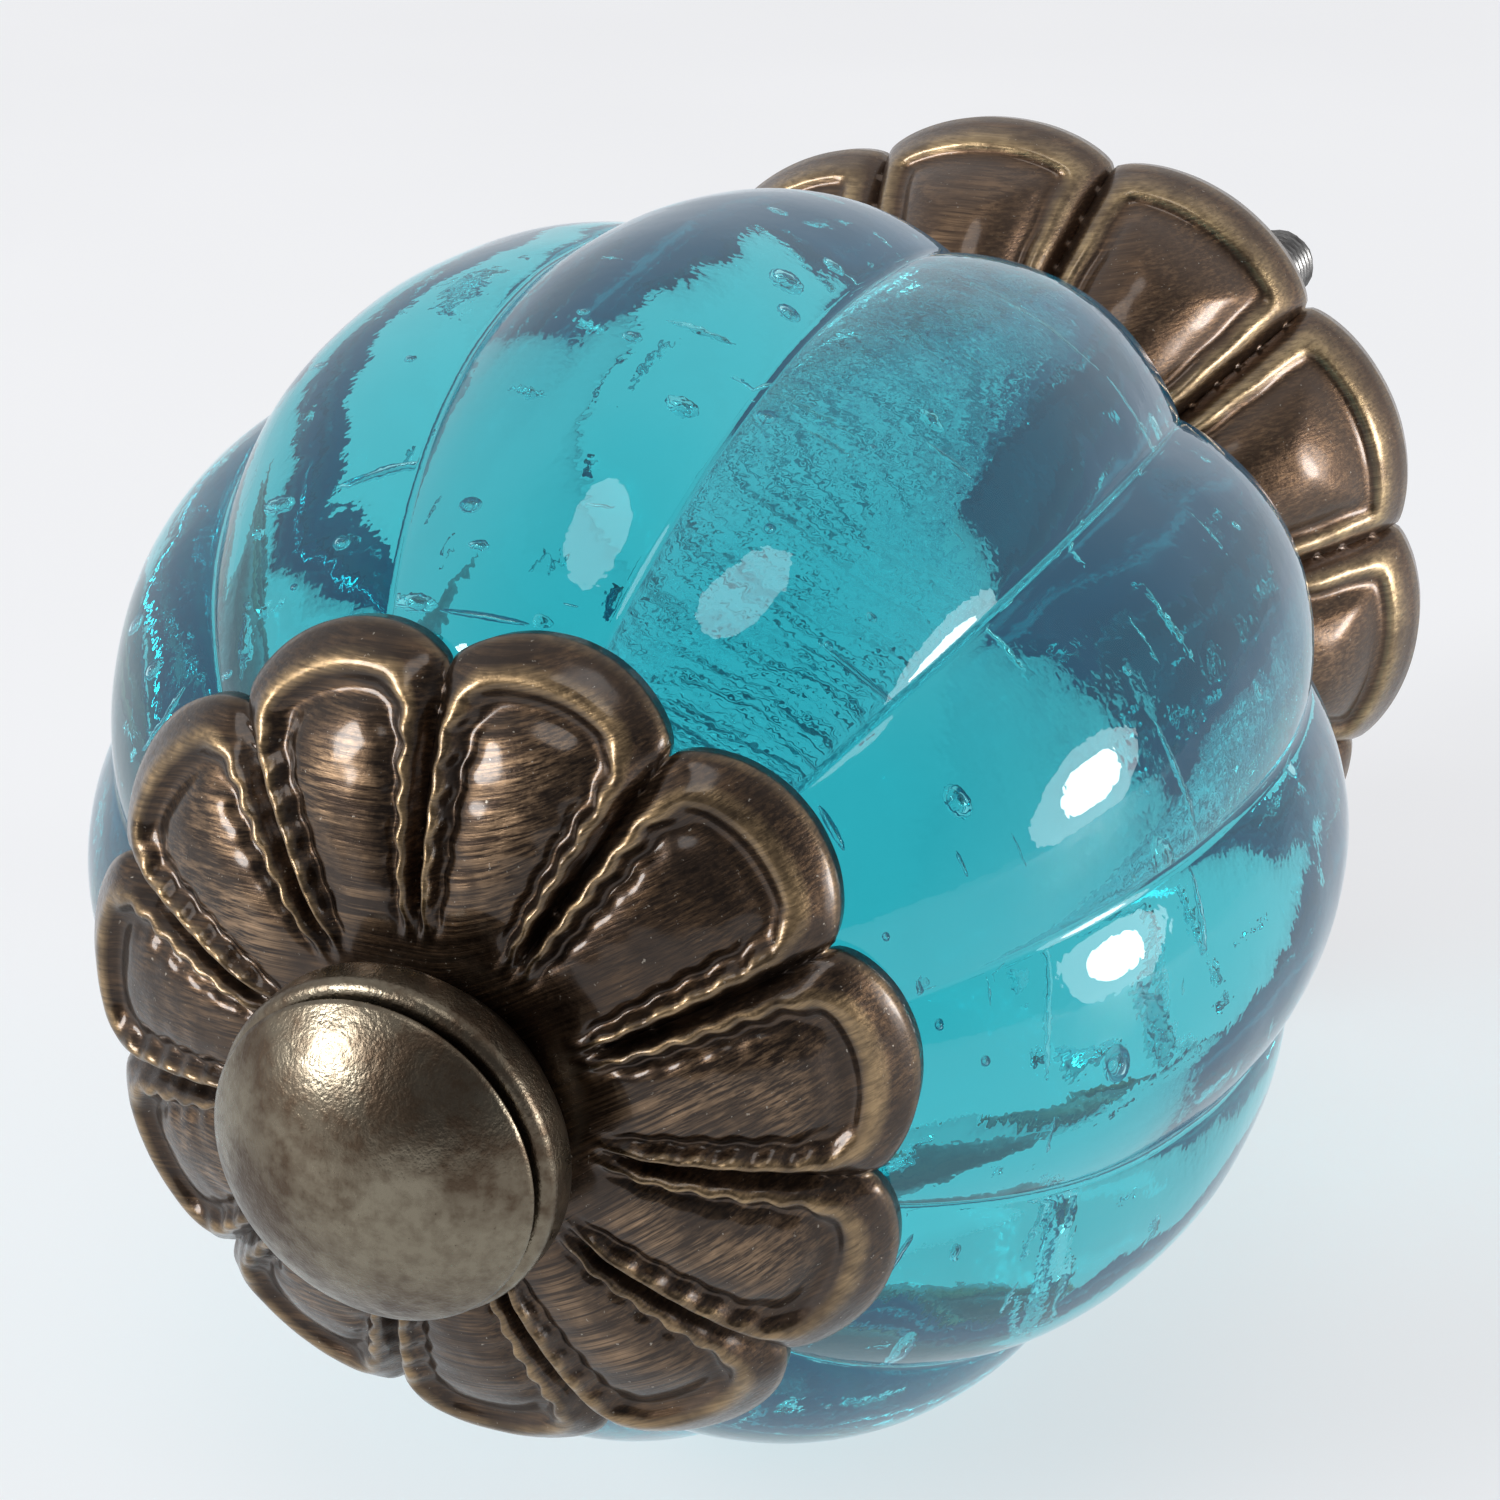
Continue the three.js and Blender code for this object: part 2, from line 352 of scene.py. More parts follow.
@dataclass(frozen=True)
class TurquoiseGlass(Finish):
    """Soda-lime glass coloured with copper, pressed in a fluted mould and fire polished.

    The colour lies in the mass, so thin parts are pale and thick ones a deep blue. A faint
    deep-blue glow is painted into the glass, painted light that keeps the thickest parts
    blue rather than black. Fire polishing leaves a glossy skin with a slight waviness, and
    the bore is rough.
    """

    name: str = "copper_turquoise_glass"
    ior: float = 1.52
    absorbs: tuple[float, float, float] = (0.02, 0.79, 0.815)
    # painted light: colour of a faint glow painted into the glass
    glow: str = "#052c3c"
    density: float = 92.0
    wave: float = 3.5 * MM
    ripple: float = 0.7 * MM
    ripple_depth: float = 0.1
    crinkle: float = 0.3 * MM
    crinkle_depth: float = 0.035
    drill_mark: float = 0.9 * MM
    drill_marks: Span = (0.3, 0.7)
    drill_depth: float = 3.5
    drill_roughness: float = 0.12
    bore_radius: float = 2.75 * MM
    bore_fade: float = 1.15
    bump_depth: float = 0.12 * MM
    shadow: str = "#cfeef2"

    def layers(self, add: AddNode, place: bpy.types.NodeSocket) -> Layers:
        """Polish the outside, drill the bore, colour the mass and paint in a faint glow.

        Args:
            add: adds a node to the material.
            place: coordinates on the piece, in metres.

        Returns:
            What feeds the material's output.
        """
        across, along, up = add("ShaderNodeSeparateXYZ", (place,)).outputs
        flat = add(VECTOR, {0: across, 2: up})
        radius = add("ShaderNodeVectorMath", (flat,), operation="LENGTH")
        faded = self.bore_radius * self.bore_fade
        drilled = add(SPAN, (radius, self.bore_radius, faded, 1.0, 0.0))
        wave, ripple, crinkle = (
            add(NOISE, {"Vector": place, "Scale": 1.0 / size, "Detail": detail})
            for size, detail in ((self.wave, 1.0), (self.ripple, 2.0), (self.crinkle, 1.0))
        )
        ripple = add(MATH, (ripple, self.ripple_depth), operation="MULTIPLY")
        crinkle = add(MATH, (crinkle, self.crinkle_depth), operation="MULTIPLY")
        fine = add(MATH, (ripple, crinkle), operation="ADD")
        polished = add(MATH, (wave, fine), operation="ADD")
        turn = add(MATH, (across, up), operation="ARCTAN2")
        wound = add(MATH, (turn, self.bore_radius * 0.5), operation="MULTIPLY")
        marks = add(
            NOISE,
            {
                "Vector": add(VECTOR, (wound, along)),
                "Scale": 1.0 / self.drill_mark,
                "Detail": 4.0,
                "Roughness": 0.6,
            },
        )
        marks = add(SPAN, (marks, *self.drill_marks))
        marked = add(MATH, (marks, drilled), operation="MULTIPLY")
        marked = add(MATH, (marked, self.drill_depth), operation="MULTIPLY")
        height = add(MATH, (polished, marked), operation="ADD")
        bump = add(BUMP, {"Strength": 0.5, "Distance": self.bump_depth, "Height": height})
        shader = add(
            PRINCIPLED,
            {
                "Base Color": WHITE,
                "Roughness": add(MATH, (drilled, self.drill_roughness), operation="MULTIPLY"),
                "IOR": self.ior,
                "Transmission Weight": 1.0,
                # painted light: a faint deep-blue glow, though the glass is no lamp
                "Emission Color": linear(self.glow),
                "Emission Strength": 1.0,
                "Normal": bump,
            },
        )
        lamp = add("ShaderNodeLightPath").outputs["Is Shadow Ray"]
        clear = add("ShaderNodeBsdfTransparent", {"Color": linear(self.shadow)})
        mass = add(
            "ShaderNodeVolumeAbsorption",
            {"Color": (*self.absorbs, 1.0), "Density": self.density},
        )
        return {"Surface": add("ShaderNodeMixShader", (lamp, shader, clear)), "Volume": mass}


@dataclass(frozen=True)
class TrappedAir(Finish):
    """Air trapped while the glass was gathered.

    Light leaves the dense glass for thin air, so each bubble has a dark rim and a
    bright point.
    """

    name: str = "trapped_air"
    ior: float = 1.0 / 1.52
    pucker: float = 0.3 * MM
    roughness: Span = (0.3, 0.7, 0.0, 0.03)

    def layers(self, add: AddNode, place: bpy.types.NodeSocket) -> Layers:
        """Line the bubble and let lamplight through it.

        Args:
            add: adds a node to the material.
            place: coordinates on the piece, in metres.

        Returns:
            What feeds the material's output.
        """
        pucker = add(NOISE, {"Vector": place, "Scale": 1.0 / self.pucker})
        shader = add(
            "ShaderNodeBsdfGlass",
            {
                "Color": WHITE,
                "Roughness": add(SPAN, (pucker, *self.roughness)),
                "IOR": self.ior,
            },
        )
        lamp = add("ShaderNodeLightPath").outputs["Is Shadow Ray"]
        clear = add("ShaderNodeBsdfTransparent")
        return {"Surface": add("ShaderNodeMixShader", (lamp, shader, clear))}


@dataclass(frozen=True)
class ZincSteel(Finish):
    """Low-carbon steel, rolled or cold headed, and bright zinc plated.

    The plating is a pale bluish grey with small matt clouds.
    """

    name: str = "zinc_plated_steel"
    light: str = "#8c8b89"
    dull: str = "#62605f"
    clouds: float = 1.2 * MM
    cloud_tone: Span = (0.35, 0.65)
    roughness: Span = (0.3, 0.7, 0.24, 0.42)
    bump_depth: float = 0.02 * MM

    def layers(self, add: AddNode, place: bpy.types.NodeSocket) -> Layers:
        """Cloud the plating.

        Args:
            add: adds a node to the material.
            place: coordinates on the piece, in metres.

        Returns:
            What feeds the material's output.
        """
        clouds = add(
            NOISE, {"Vector": place, "Scale": 1.0 / self.clouds, "Detail": 4.0, "Roughness": 0.65}
        )
        share = add(SPAN, (clouds, *self.cloud_tone))
        tones = {6: linear(self.light), 7: linear(self.dull)}
        bump = add(BUMP, {"Strength": 0.2, "Distance": self.bump_depth, "Height": clouds})
        shader = add(
            PRINCIPLED,
            {
                "Base Color": add(MIX, {0: share, **tones}, data_type="RGBA"),
                "Metallic": 1.0,
                "Roughness": add(SPAN, (clouds, *self.roughness)),
                "Normal": bump,
            },
        )
        return {"Surface": shader}


@dataclass(frozen=True)
class ClearGasket(Finish):
    """Plasticised PVC, punched from clear sheet: milky, soft and faintly glossy."""

    name: str = "clear_pvc"
    tone: str = "#d9e2df"
    shade: str = "#b9c8c6"
    haze: float = 0.9 * MM
    haze_tone: Span = (0.35, 0.65)
    roughness: Span = (0.3, 0.7, 0.3, 0.45)
    ior: float = 1.53
    clearness: float = 0.55

    def layers(self, add: AddNode, place: bpy.types.NodeSocket) -> Layers:
        """Haze the sheet.

        Args:
            add: adds a node to the material.
            place: coordinates on the piece, in metres.

        Returns:
            What feeds the material's output.
        """
        haze = add(NOISE, {"Vector": place, "Scale": 1.0 / self.haze, "Detail": 3.0})
        share = add(SPAN, (haze, *self.haze_tone))
        tones = {6: linear(self.tone), 7: linear(self.shade)}
        shader = add(
            PRINCIPLED,
            {
                "Base Color": add(MIX, {0: share, **tones}, data_type="RGBA"),
                "Roughness": add(SPAN, (haze, *self.roughness)),
                "IOR": self.ior,
                "Transmission Weight": self.clearness,
            },
        )
        return {"Surface": shader}


@dataclass(frozen=True)
class PaleBoard(Finish):
    """Opal acrylic sheet, cast and matt, lit from below like a light table."""

    name: str = "opal_acrylic"
    tone: str = "#909294"
    glow: str = "#fdfdff"
    glow_strength: float = 0.58
    clouds: float = 60.0 * MM
    roughness: Span = (0.3, 0.7, 0.5, 0.6)
    gloss: float = 0.3

    def layers(self, add: AddNode, place: bpy.types.NodeSocket) -> Layers:
        """Light the sheet from below.

        Args:
            add: adds a node to the material.
            place: coordinates on the piece, in metres.

        Returns:
            What feeds the material's output.
        """
        soft = add(NOISE, {"Vector": place, "Scale": 1.0 / self.clouds, "Detail": 2.0})
        shader = add(
            PRINCIPLED,
            {
                "Base Color": linear(self.tone),
                "Roughness": add(SPAN, (soft, *self.roughness)),
                "Specular IOR Level": self.gloss,
                "Emission Color": linear(self.glow),
                "Emission Strength": self.glow_strength,
            },
        )
        return {"Surface": shader}


def turned(points: np.ndarray) -> np.ndarray:
    """Turn local millimetres (front at +Z) into frame metres (front at -Y).

    Args:
        points: an array whose last axis is x, y, z.

    Returns:
        The same points in the frame.
    """
    return np.stack([points[..., 0], -points[..., 2], points[..., 1]], -1) * MM


def skin(
    name: str,
    points: np.ndarray,
    loop_around: bool = True,
    loop_along: bool = True,
) -> bpy.types.Object:
    """Join a grid of local points into a smooth mesh object in the frame.

    Args:
        name: the piece's name.
        points: local points by step around, step along, and x, y, z.
        loop_around: whether the last step around joins the first.
        loop_along: whether the last step along joins the first.

    Returns:
        A linked object with its place in its mesh.
    """
    around, along = points.shape[:2]
    here = np.arange(around * along).reshape(around, along)
    right = np.roll(here, -1, 0)
    up = np.roll(here, -1, 1)
    corner = np.roll(right, -1, 1)
    faces = np.stack([here, right, corner, up], -1)
    if not loop_around:
        faces = faces[:-1]
    if not loop_along:
        faces = faces[:, :-1]
    mesh = bpy.data.meshes.new(name)
    mesh.from_pydata(turned(points).reshape(-1, 3).tolist(), [], faces.reshape(-1, 4).tolist())
    mesh.polygons.foreach_set("use_smooth", [True] * len(mesh.polygons))
    mesh.update()
    made = bpy.data.objects.new(name, mesh)
    bpy.context.scene.collection.objects.link(made)
    return made


def places(made: bpy.types.Object) -> np.ndarray:
    """Read a piece's vertices as local millimetres with the front at +Z.

    Args:
        made: the piece.

    Returns:
        One local point for each vertex.
    """
    raw = np.zeros(len(made.data.vertices) * 3)
    made.data.vertices.foreach_get("co", raw)
    raw = raw.reshape(-1, 3) / MM
    return np.stack([raw[:, 0], raw[:, 2], -raw[:, 1]], -1)


def put_back(made: bpy.types.Object, points: np.ndarray) -> None:
    """Write local millimetres back to a piece's vertices.

    Args:
        made: the piece.
        points: one local point for each vertex.
    """
    made.data.vertices.foreach_set("co", turned(points).ravel())
    made.data.update()


def write_floats(made: bpy.types.Object, name: str, values: np.ndarray) -> None:
    """Store one number for each vertex.

    Args:
        made: the piece.
        name: the attribute's name.
        values: the numbers.
    """
    layer = made.data.attributes.new(name, "FLOAT", "POINT")
    layer.data.foreach_set("value", values.astype(np.float32))


def write_vectors(made: bpy.types.Object, name: str, values: np.ndarray) -> None:
    """Store one vector for each vertex.

    Args:
        made: the piece.
        name: the attribute's name.
        values: rows of x, y and z.
    """
    layer = made.data.attributes.new(name, "FLOAT_VECTOR", "POINT")
    layer.data.foreach_set("vector", values.astype(np.float32).ravel())


def uneven(points: np.ndarray, size: float, seed: float) -> np.ndarray:
    """Read smooth noise at local points.

    Args:
        points: rows of x, y and z in millimetres.
        size: width of a swell in millimetres.
        seed: where the noise is read, so that two calls differ.

    Returns:
        One number for each point, about -1 to 1.
    """
    shift = Vector((seed, -seed, 2.0 * seed))
    return np.array([noise.noise(Vector(p) / size + shift) for p in points.tolist()])


class NodeRecipe:
    """A Geometry Nodes tree with named inputs that makes one plain mesh."""

    def __init__(self, name: str, sockets: dict[str, str]) -> None:
        """Start a tree.

        Args:
            name: the tree's name.
            sockets: the name and kind of each input after the geometry.
        """
        self.tree = bpy.data.node_groups.new(name, "GeometryNodeTree")
        face = self.tree.interface
        face.new_socket(name="Geometry", in_out="INPUT", socket_type="NodeSocketGeometry")
        face.new_socket(name="Geometry", in_out="OUTPUT", socket_type="NodeSocketGeometry")
        self.keys = {
            label: face.new_socket(name=label, in_out="INPUT", socket_type=kind).identifier
            for label, kind in sockets.items()
        }
        self.given = self.tree.nodes.new("NodeGroupInput").outputs
        self.add = partial(add_node, self.tree)

    def close(self, geometry: bpy.types.Node) -> None:
        """End the tree: real mesh, welded seams, and the finish.

        Args:
            geometry: the node that makes the shape.
        """
        real = self.add("GeometryNodeRealizeInstances", (geometry,))
        welded = self.add(
            "GeometryNodeMergeByDistance", {"Geometry": real, "Distance": SEAM_WELD}
        )
        dressed = self.add(
            "GeometryNodeSetMaterial", {"Geometry": welded, "Material": self.given["Finish"]}
        )
        self.add("NodeGroupOutput", (dressed,))

    def cook(self, source: bpy.types.Object, values: dict[str, object]) -> bpy.types.Object:
        """Run the tree on an object and keep the result as a plain mesh.

        Args:
            source: the object that feeds the tree; it is used up.
            values: what each named input gets.

        Returns:
            A new object with the source's name.
        """
        modifier = source.modifiers.new("recipe", "NODES")
        modifier.node_group = self.tree
        for label, value in values.items():
            modifier[self.keys[label]] = value
        graph = bpy.context.evaluated_depsgraph_get()
        mesh = bpy.data.meshes.new_from_object(source.evaluated_get(graph))
        name = source.name
        source.modifiers.clear()
        bpy.data.objects.remove(source)
        mesh.name = name
        made = bpy.data.objects.new(name, mesh)
        bpy.context.scene.collection.objects.link(made)
        mesh.polygons.foreach_set("use_smooth", [True] * len(mesh.polygons))
        return made


def ring_recipe() -> NodeRecipe:
    """Make the tree that repeats a sector round the knob's axis.

    Returns:
        The tree, with the inputs Count and Finish.
    """
    recipe = NodeRecipe(
        "ring_of_sectors", {"Count": "NodeSocketInt", "Finish": "NodeSocketMaterial"}
    )
    add, given = recipe.add, recipe.given
    row = add("GeometryNodeMeshLine", {"Count": given["Count"], "Offset": (0.0, 0.0, 0.0)})
    step = add(MATH, (-FULL_TURN, given["Count"]), operation="DIVIDE")
    turn = add(MATH, (add("GeometryNodeInputIndex"), step), operation="MULTIPLY")
    copies = add(
        "GeometryNodeInstanceOnPoints",
        {"Points": row, "Instance": given["Geometry"], "Rotation": add(VECTOR, {1: turn})},
    )
    recipe.close(copies)
    return recipe


def finished(
    made: bpy.types.Object,
    finish: bpy.types.Material,
    body: Body,
    slot: Slot,
    *nodes: str,
) -> bpy.types.Object:
    """Dress a piece, put it on its body and hide the solids it stands for.

    Args:
        made: the piece.
        finish: its material.
        body: what it rides on.
        slot: the record's slot for its finish; not used.
        *nodes: the solids it stands for.

    Returns:
        The piece.
    """
    made.data.materials.clear()
    made.data.materials.append(finish)
    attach(made, body.value)
    if nodes:
        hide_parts(*nodes)
    log.info("%s: %d faces on %s", made.name, len(made.data.polygons), body.value)
    return made


@dataclass
class Workshop:
    """The finishes and the shared recipe."""

    brass: bpy.types.Material = field(default_factory=lambda: AntiqueBrass().material())
    # painted light: a lighter copy of the brass for the base, whose pillows lie in bright light
    painted_lit_brass: bpy.types.Material = field(
        default_factory=lambda: AntiqueBrass(
            name="antique_brass_painted_lit",
            dark="#4d3c2f",
            brown="#8a6c50",
            gold="#b8a079",
        ).material()
    )
    nickel: bpy.types.Material = field(default_factory=lambda: AntiqueNickel().material())
    glass: bpy.types.Material = field(default_factory=lambda: TurquoiseGlass().material())
    air: bpy.types.Material = field(default_factory=lambda: TrappedAir().material())
    steel: bpy.types.Material = field(default_factory=lambda: ZincSteel().material())
    gasket: bpy.types.Material = field(default_factory=lambda: ClearGasket().material())
    board: bpy.types.Material = field(default_factory=lambda: PaleBoard().material())
    ring: NodeRecipe = field(default_factory=ring_recipe)


def span_of(node: str) -> tuple[float, float]:
    """Read a solid's rear and front faces in local millimetres.

    Args:
        node: the solid's name.

    Returns:
        The rear and the front place along the axis.
    """
    low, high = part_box(node)
    return -high.y / MM, -low.y / MM


def reach_of(node: str) -> float:
    """Read a round solid's outer radius in millimetres."""
    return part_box(node)[1].x / MM


def lathe(name: str, outline: list[tuple[float, float]], steps: int = 96) -> bpy.types.Object:
    """Turn a closed outline round the axis.

    Args:
        name: the piece's name.
        outline: radius and place along the axis, outer side forwards.
        steps: divisions round the axis.

    Returns:
        The turned piece.
    """
    angles = np.arange(steps) * FULL_TURN / steps
    section = np.array(outline)
    points = np.stack(
        [
            np.cos(angles)[:, None] * section[:, 0],
            np.sin(angles)[:, None] * section[:, 0],
            np.broadcast_to(section[:, 1], (steps, len(section))),
        ],
        -1,
    )
    return skin(name, points)


def rounded_ring(
    inner: float, outer: float, rear: float, front: float, edge: float
) -> list[tuple[float, float]]:
    """Draw the section of a flat ring with rounded outer edges.

    Args:
        inner: bore radius.
        outer: outer radius.
        rear: rear face.
        front: front face.
        edge: radius of the outer edges.

    Returns:
        The closed outline for lathe.
    """
    tilts = np.linspace(0.0, math.pi / 2.0, 6)
    lower = [
        (outer - edge + edge * math.sin(t), rear + edge - edge * math.cos(t)) for t in tilts
    ]
    upper = [
        (outer - edge + edge * math.cos(t), front - edge + edge * math.sin(t)) for t in tilts
    ]
    inset = min(edge, 0.15)
    return [
        (inner, rear + inset),
        (inner + inset, rear),
        *lower,
        *upper,
        (inner + inset, front),
        (inner, front - inset),
    ]


@dataclass
class FlutedGlass:
    """The glass body with its bubbles."""

    shop: Workshop
    radius: float = 20.0
    half_length: float = 20.5
    roundness: float = 2.15
    seat_reach: float = 17.6
    bore_radius: float = 2.6
    lobes: int = 12
    phase: float = 0.263
    depth: float = 0.055
    crest_power: float = 0.85
    steps: int = 44
    rows: int = 116
    seat_rows: int = 8
    bore_rows: int = 16
    free_radius: float = 9.5
    swells: tuple[tuple[float, float, float], ...] = ((11.0, 3.1, 0.16), (4.0, 7.7, 0.045))
    bore_depth: float = 0.12
    air_reach: float = 0.86
    bubbles: int = 210
    bubble_seed: int = 11
    streaks: int = 240

    def centre(self) -> float:
        """Place of the glass's middle along the axis."""
        rear, front = span_of("glass_body")
        return (rear + front) / 2.0

    def section(self, angle: float) -> list[list[float]]:
        """Draw the glass's outline at one angle from a groove.

        Args:
            angle: angle from the groove, in radians.

        Returns:
            Radius and reach from the middle, round the whole outline.
        """
        crest = abs(math.sin(self.lobes * angle / 2.0)) ** self.crest_power
        flute = 1.0 - self.depth * (1.0 - crest)
        tilt = math.asin(self.seat_reach / self.half_length)
        outline = []
        for row in range(self.rows + 1):
            reach = self.half_length * math.sin(tilt * (2.0 * row / self.rows - 1.0))
            slim = 1.0 - (abs(reach) / self.half_length) ** self.roundness
            outline.append([self.radius * flute * slim ** (1.0 / self.roundness), reach])
        edge = outline[-1][0]
        for row in range(1, self.seat_rows + 1):
            share = row / self.seat_rows
            outline.append([edge + (self.bore_radius - edge) * share, self.seat_reach])
        for row in range(1, self.bore_rows + 1):
            share = row / self.bore_rows
            outline.append([self.bore_radius, self.seat_reach * (1.0 - 2.0 * share)])
        for row in range(1, self.seat_rows):
            share = row / self.seat_rows
            across = self.bore_radius + (edge - self.bore_radius) * share
            outline.append([across, -self.seat_reach])
        return outline

    def body(self) -> bpy.types.Object:
        """Build one lobe, repeat it, and give the whole a hand-made unevenness.

        Returns:
            The glass body.
        """
        sector = FULL_TURN / self.lobes
        middle = self.centre()
        columns = []
        for step in range(self.steps + 1):
            angle = sector * step / self.steps
            around = angle + self.phase
            columns.append(
                [
                    (r * math.cos(around), r * math.sin(around), middle + z)
                    for r, z in self.section(angle)
                ]
            )
        one = skin("fluted_glass", np.array(columns), loop_around=False)
        made = self.shop.ring.cook(one, {"Count": self.lobes, "Finish": self.shop.glass})
        points = places(made)
        radius = np.hypot(points[:, 0], points[:, 1])
        outer = np.clip((radius - self.free_radius) / 3.0, 0.0, 1.0)
        bored = np.clip((3.2 - radius) / 0.4, 0.0, 1.0)
        swell = sum(uneven(points, size, seed) * depth for size, seed, depth in self.swells)
        rough = uneven(points * np.array([1.0, 1.0, 0.5]), 0.9, 1.3) * self.bore_depth
        swell, rough = swell * outer, rough * bored
        out = np.stack([points[:, 0] / radius, points[:, 1] / radius], -1)
        points[:, :2] += out * (swell + rough)[:, None]
        put_back(made, points)
        return finished(made, self.shop.glass, Body.KNOB, Slot.GLASS, "glass_body")

    def air(self) -> None:
        """Scatter round bubbles and drawn-out streaks of air inside the glass."""
        recipe = scatter_recipe()
        shared = {
            "Middle": self.centre() * MM,
            "Reach": 2.0 * self.seat_reach * self.air_reach * MM,
            "Finish": self.shop.air,
        }
        kinds = {
            "trapped_bubbles": {
                "Count": self.bubbles,
                "Seed": self.bubble_seed,
                "Inner": 5.0 * MM,
                "Outer": 17.6 * MM,
                "Largest": 0.42 * MM,
                "Smallest": 0.11 * MM,
                "Drawn": 1.2,
            },
            "drawn_streaks": {
                "Count": self.streaks,
                "Seed": self.bubble_seed + 20,
                "Inner": 7.0 * MM,
                "Outer": 14.5 * MM,
                "Largest": 0.16 * MM,
                "Smallest": 0.03 * MM,
                "Drawn": 14.0,
            },
        }
        for name, sizes in kinds.items():
            seedling = skin(name, np.zeros((2, 2, 3)), False, False)
            made = recipe.cook(seedling, {**shared, **sizes})
            finished(made, self.shop.air, Body.KNOB, Slot.GLASS)


def scatter_recipe() -> NodeRecipe:
    """Make the tree that scatters small round or drawn-out bodies round the axis.

    Returns:
        The tree, with inputs for the number, the seed, the room and the sizes.
    """
    whole = ("Count", "Seed")
    sizes = ("Middle", "Reach", "Inner", "Outer", "Largest", "Smallest", "Drawn")
    recipe = NodeRecipe(
        "scattered_bubbles",
        {
            **dict.fromkeys(whole, "NodeSocketInt"),
            **dict.fromkeys(sizes, "NodeSocketFloat"),
            "Finish": "NodeSocketMaterial",
        },
    )
    add, given = recipe.add, recipe.given
    known = {name: given[name] for name in (*whole, *sizes)}
    for shift, name in enumerate(("turned", "moved", "sunk", "grown", "drawn", "leant")):
        seed = add(MATH, (given["Seed"], float(shift)), operation="ADD")
        known[name] = add("FunctionNodeRandomValue", {"Seed": seed}, data_type="FLOAT")
    for name, operation, *values in (
        ("angle", "MULTIPLY", "turned", FULL_TURN),
        ("centred", "SUBTRACT", "moved", 0.5),
        ("along", "MULTIPLY", "centred", "Reach"),
        ("half", "MULTIPLY", "Reach", NARROWING),
        ("share", "DIVIDE", "along", "half"),
        ("squared", "MULTIPLY", "share", "share"),
        ("left", "SUBTRACT", 1.0, "squared"),
        ("narrow", "SQRT", "left"),
        ("outside", "MULTIPLY", "Outer", "narrow"),
        ("room", "SUBTRACT", "outside", "Inner"),
        ("deep", "SQRT", "sunk"),
        ("outwards", "MULTIPLY", "deep", "room"),
        ("radius", "ADD", "Inner", "outwards"),
        ("cosine", "COSINE", "angle"),
        ("sine", "SINE", "angle"),
        ("x", "MULTIPLY", "radius", "cosine"),
        ("y", "SUBTRACT", "along", "Middle"),
        ("z", "MULTIPLY", "radius", "sine"),
        ("cubed", "POWER", "grown", 3.0),
        ("spare", "SUBTRACT", "Largest", "Smallest"),
        ("growth", "MULTIPLY", "cubed", "spare"),
        ("size", "ADD", "Smallest", "growth"),
        ("stretch", "SUBTRACT", "Drawn", 1.0),
        ("longer", "MULTIPLY", "stretch", "drawn"),
        ("longest", "ADD", "longer", 1.0),
        ("length", "MULTIPLY", "size", "longest"),
        ("back", "SUBTRACT", 0.0, "angle"),
        ("lie", "SUBTRACT", "back", FULL_TURN / 4.0),
        ("tilt", "SUBTRACT", "leant", 0.5),
        ("slant", "MULTIPLY", "tilt", 0.5),
    ):
        fed = tuple(known.get(value, value) for value in values)
        known[name] = add(MATH, fed, operation=operation)
    spot = add(VECTOR, (known["x"], known["y"], known["z"]))
    cloud = add("GeometryNodePoints", {"Count": given["Count"]})
    copies = add(
        "GeometryNodeInstanceOnPoints",
        {
            "Points": add("GeometryNodeSetPosition", {"Geometry": cloud, "Position": spot}),
            "Instance": add("GeometryNodeMeshIcoSphere", {"Radius": 1.0, "Subdivisions": 2}),
            "Rotation": add(VECTOR, (0.0, known["lie"], known["slant"])),
            "Scale": add(VECTOR, (known["length"], known["size"], known["size"])),
        },
    )
    recipe.close(copies)
    return recipe


